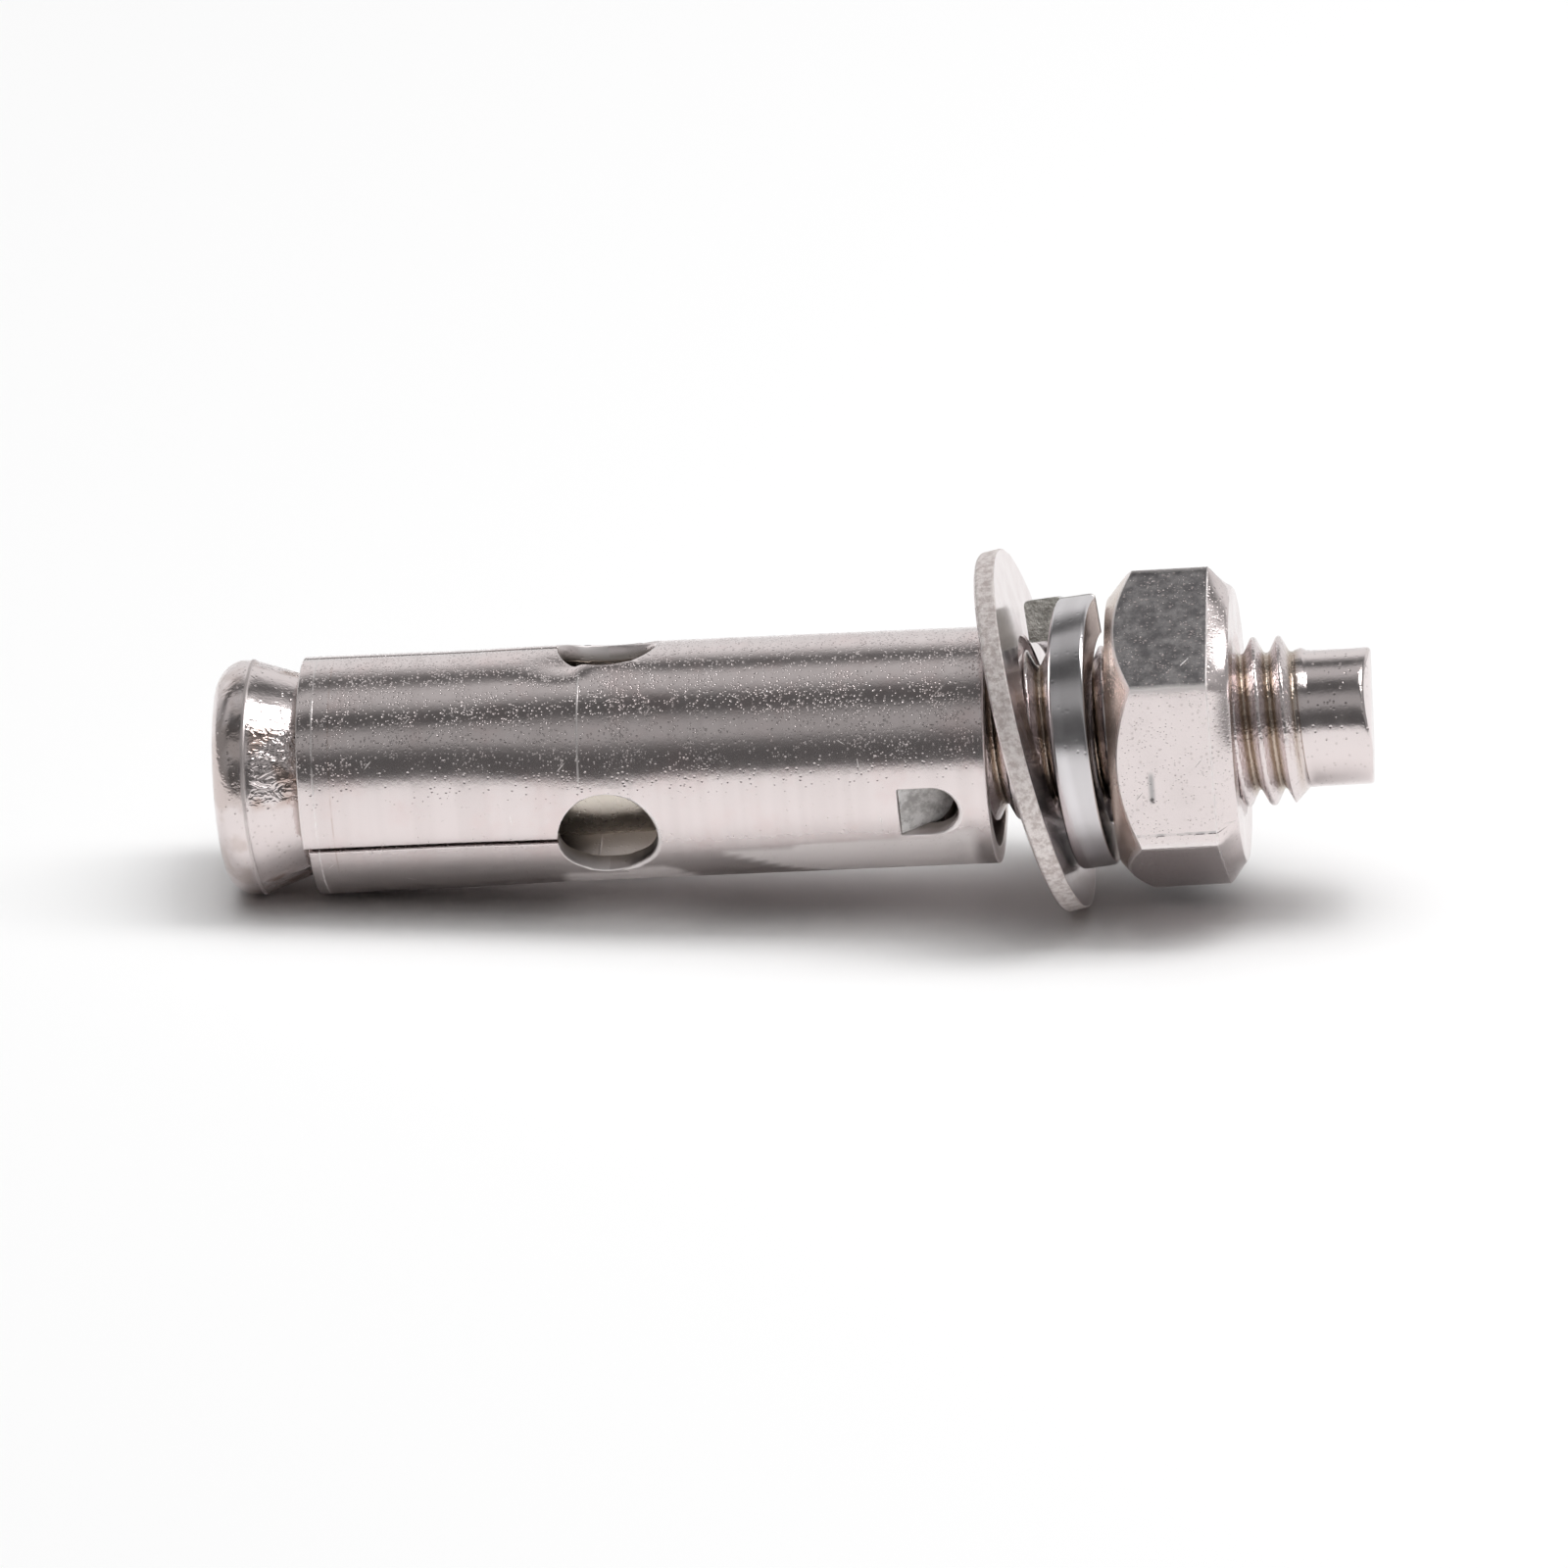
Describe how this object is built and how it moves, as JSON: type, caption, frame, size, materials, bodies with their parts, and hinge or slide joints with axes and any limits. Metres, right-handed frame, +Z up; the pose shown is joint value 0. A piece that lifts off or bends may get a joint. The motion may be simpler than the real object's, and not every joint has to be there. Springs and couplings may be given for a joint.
{
  "type": "expansion anchor bolt",
  "caption": "Sleeve expansion anchor bolt lying on its side: cone-headed stud, slotted rolled sleeve with a lanced tab, leaning flat washer, split spring washer and hexagon nut.",
  "frame": {"origin": "middle of the part's box, on the surface that it lies on", "axes": "+X from the cone head towards the pilot end, +Z up, as the part lies at rest; the stud's own axis climbs about 4.3 degrees from +X towards +Z"},
  "size_m": [0.0688, 0.0218, 0.0214],
  "materials": {
    "stud_steel": "turned and tumbled stainless steel, bright",
    "sleeve_steel": "rolled stainless sheet, bright with fine scratches",
    "washer_steel": "stamped stainless sheet, bright face and rough sheared rim",
    "spring_steel": "coiled stainless wire, bright",
    "nut_steel": "forged and tumbled stainless steel"
  },
  "bodies": {
    "stud": {"cone_stud": "stud_steel"},
    "sleeve": {"expansion_sleeve": "sleeve_steel"},
    "washer": {"flat_washer": "washer_steel"},
    "spring": {"spring_washer": "spring_steel"},
    "nut": {"hex_nut": "nut_steel"}
  },
  "joints": [
    {"name": "sleeve_turn", "type": "hinge", "parent": "stud", "child": "sleeve", "pos_m": [-0.03432, 0, 0.0068], "axis": [0.9972, 0, 0.0752], "continuous": true},
    {"name": "washer_tilt", "type": "hinge", "parent": "stud", "child": "washer", "pos_m": [0.01168, 0, 0.01728], "axis": [0, 1, 0], "range_deg": [0, 11.2]},
    {"name": "spring_slide", "type": "slide", "parent": "stud", "child": "spring", "axis": [0.9972, 0, 0.0752], "range_m": [0, 0.0075]},
    {"name": "nut_turn", "type": "hinge", "parent": "spring", "child": "nut", "pos_m": [-0.03432, 0, 0.0068], "axis": [0.9972, 0, 0.0752], "range_deg": [0, 1800]}
  ],
  "couplings": [
    {"joint": "spring_slide", "follows": "nut_turn", "m_per_rad": 0.00023873}
  ]
}
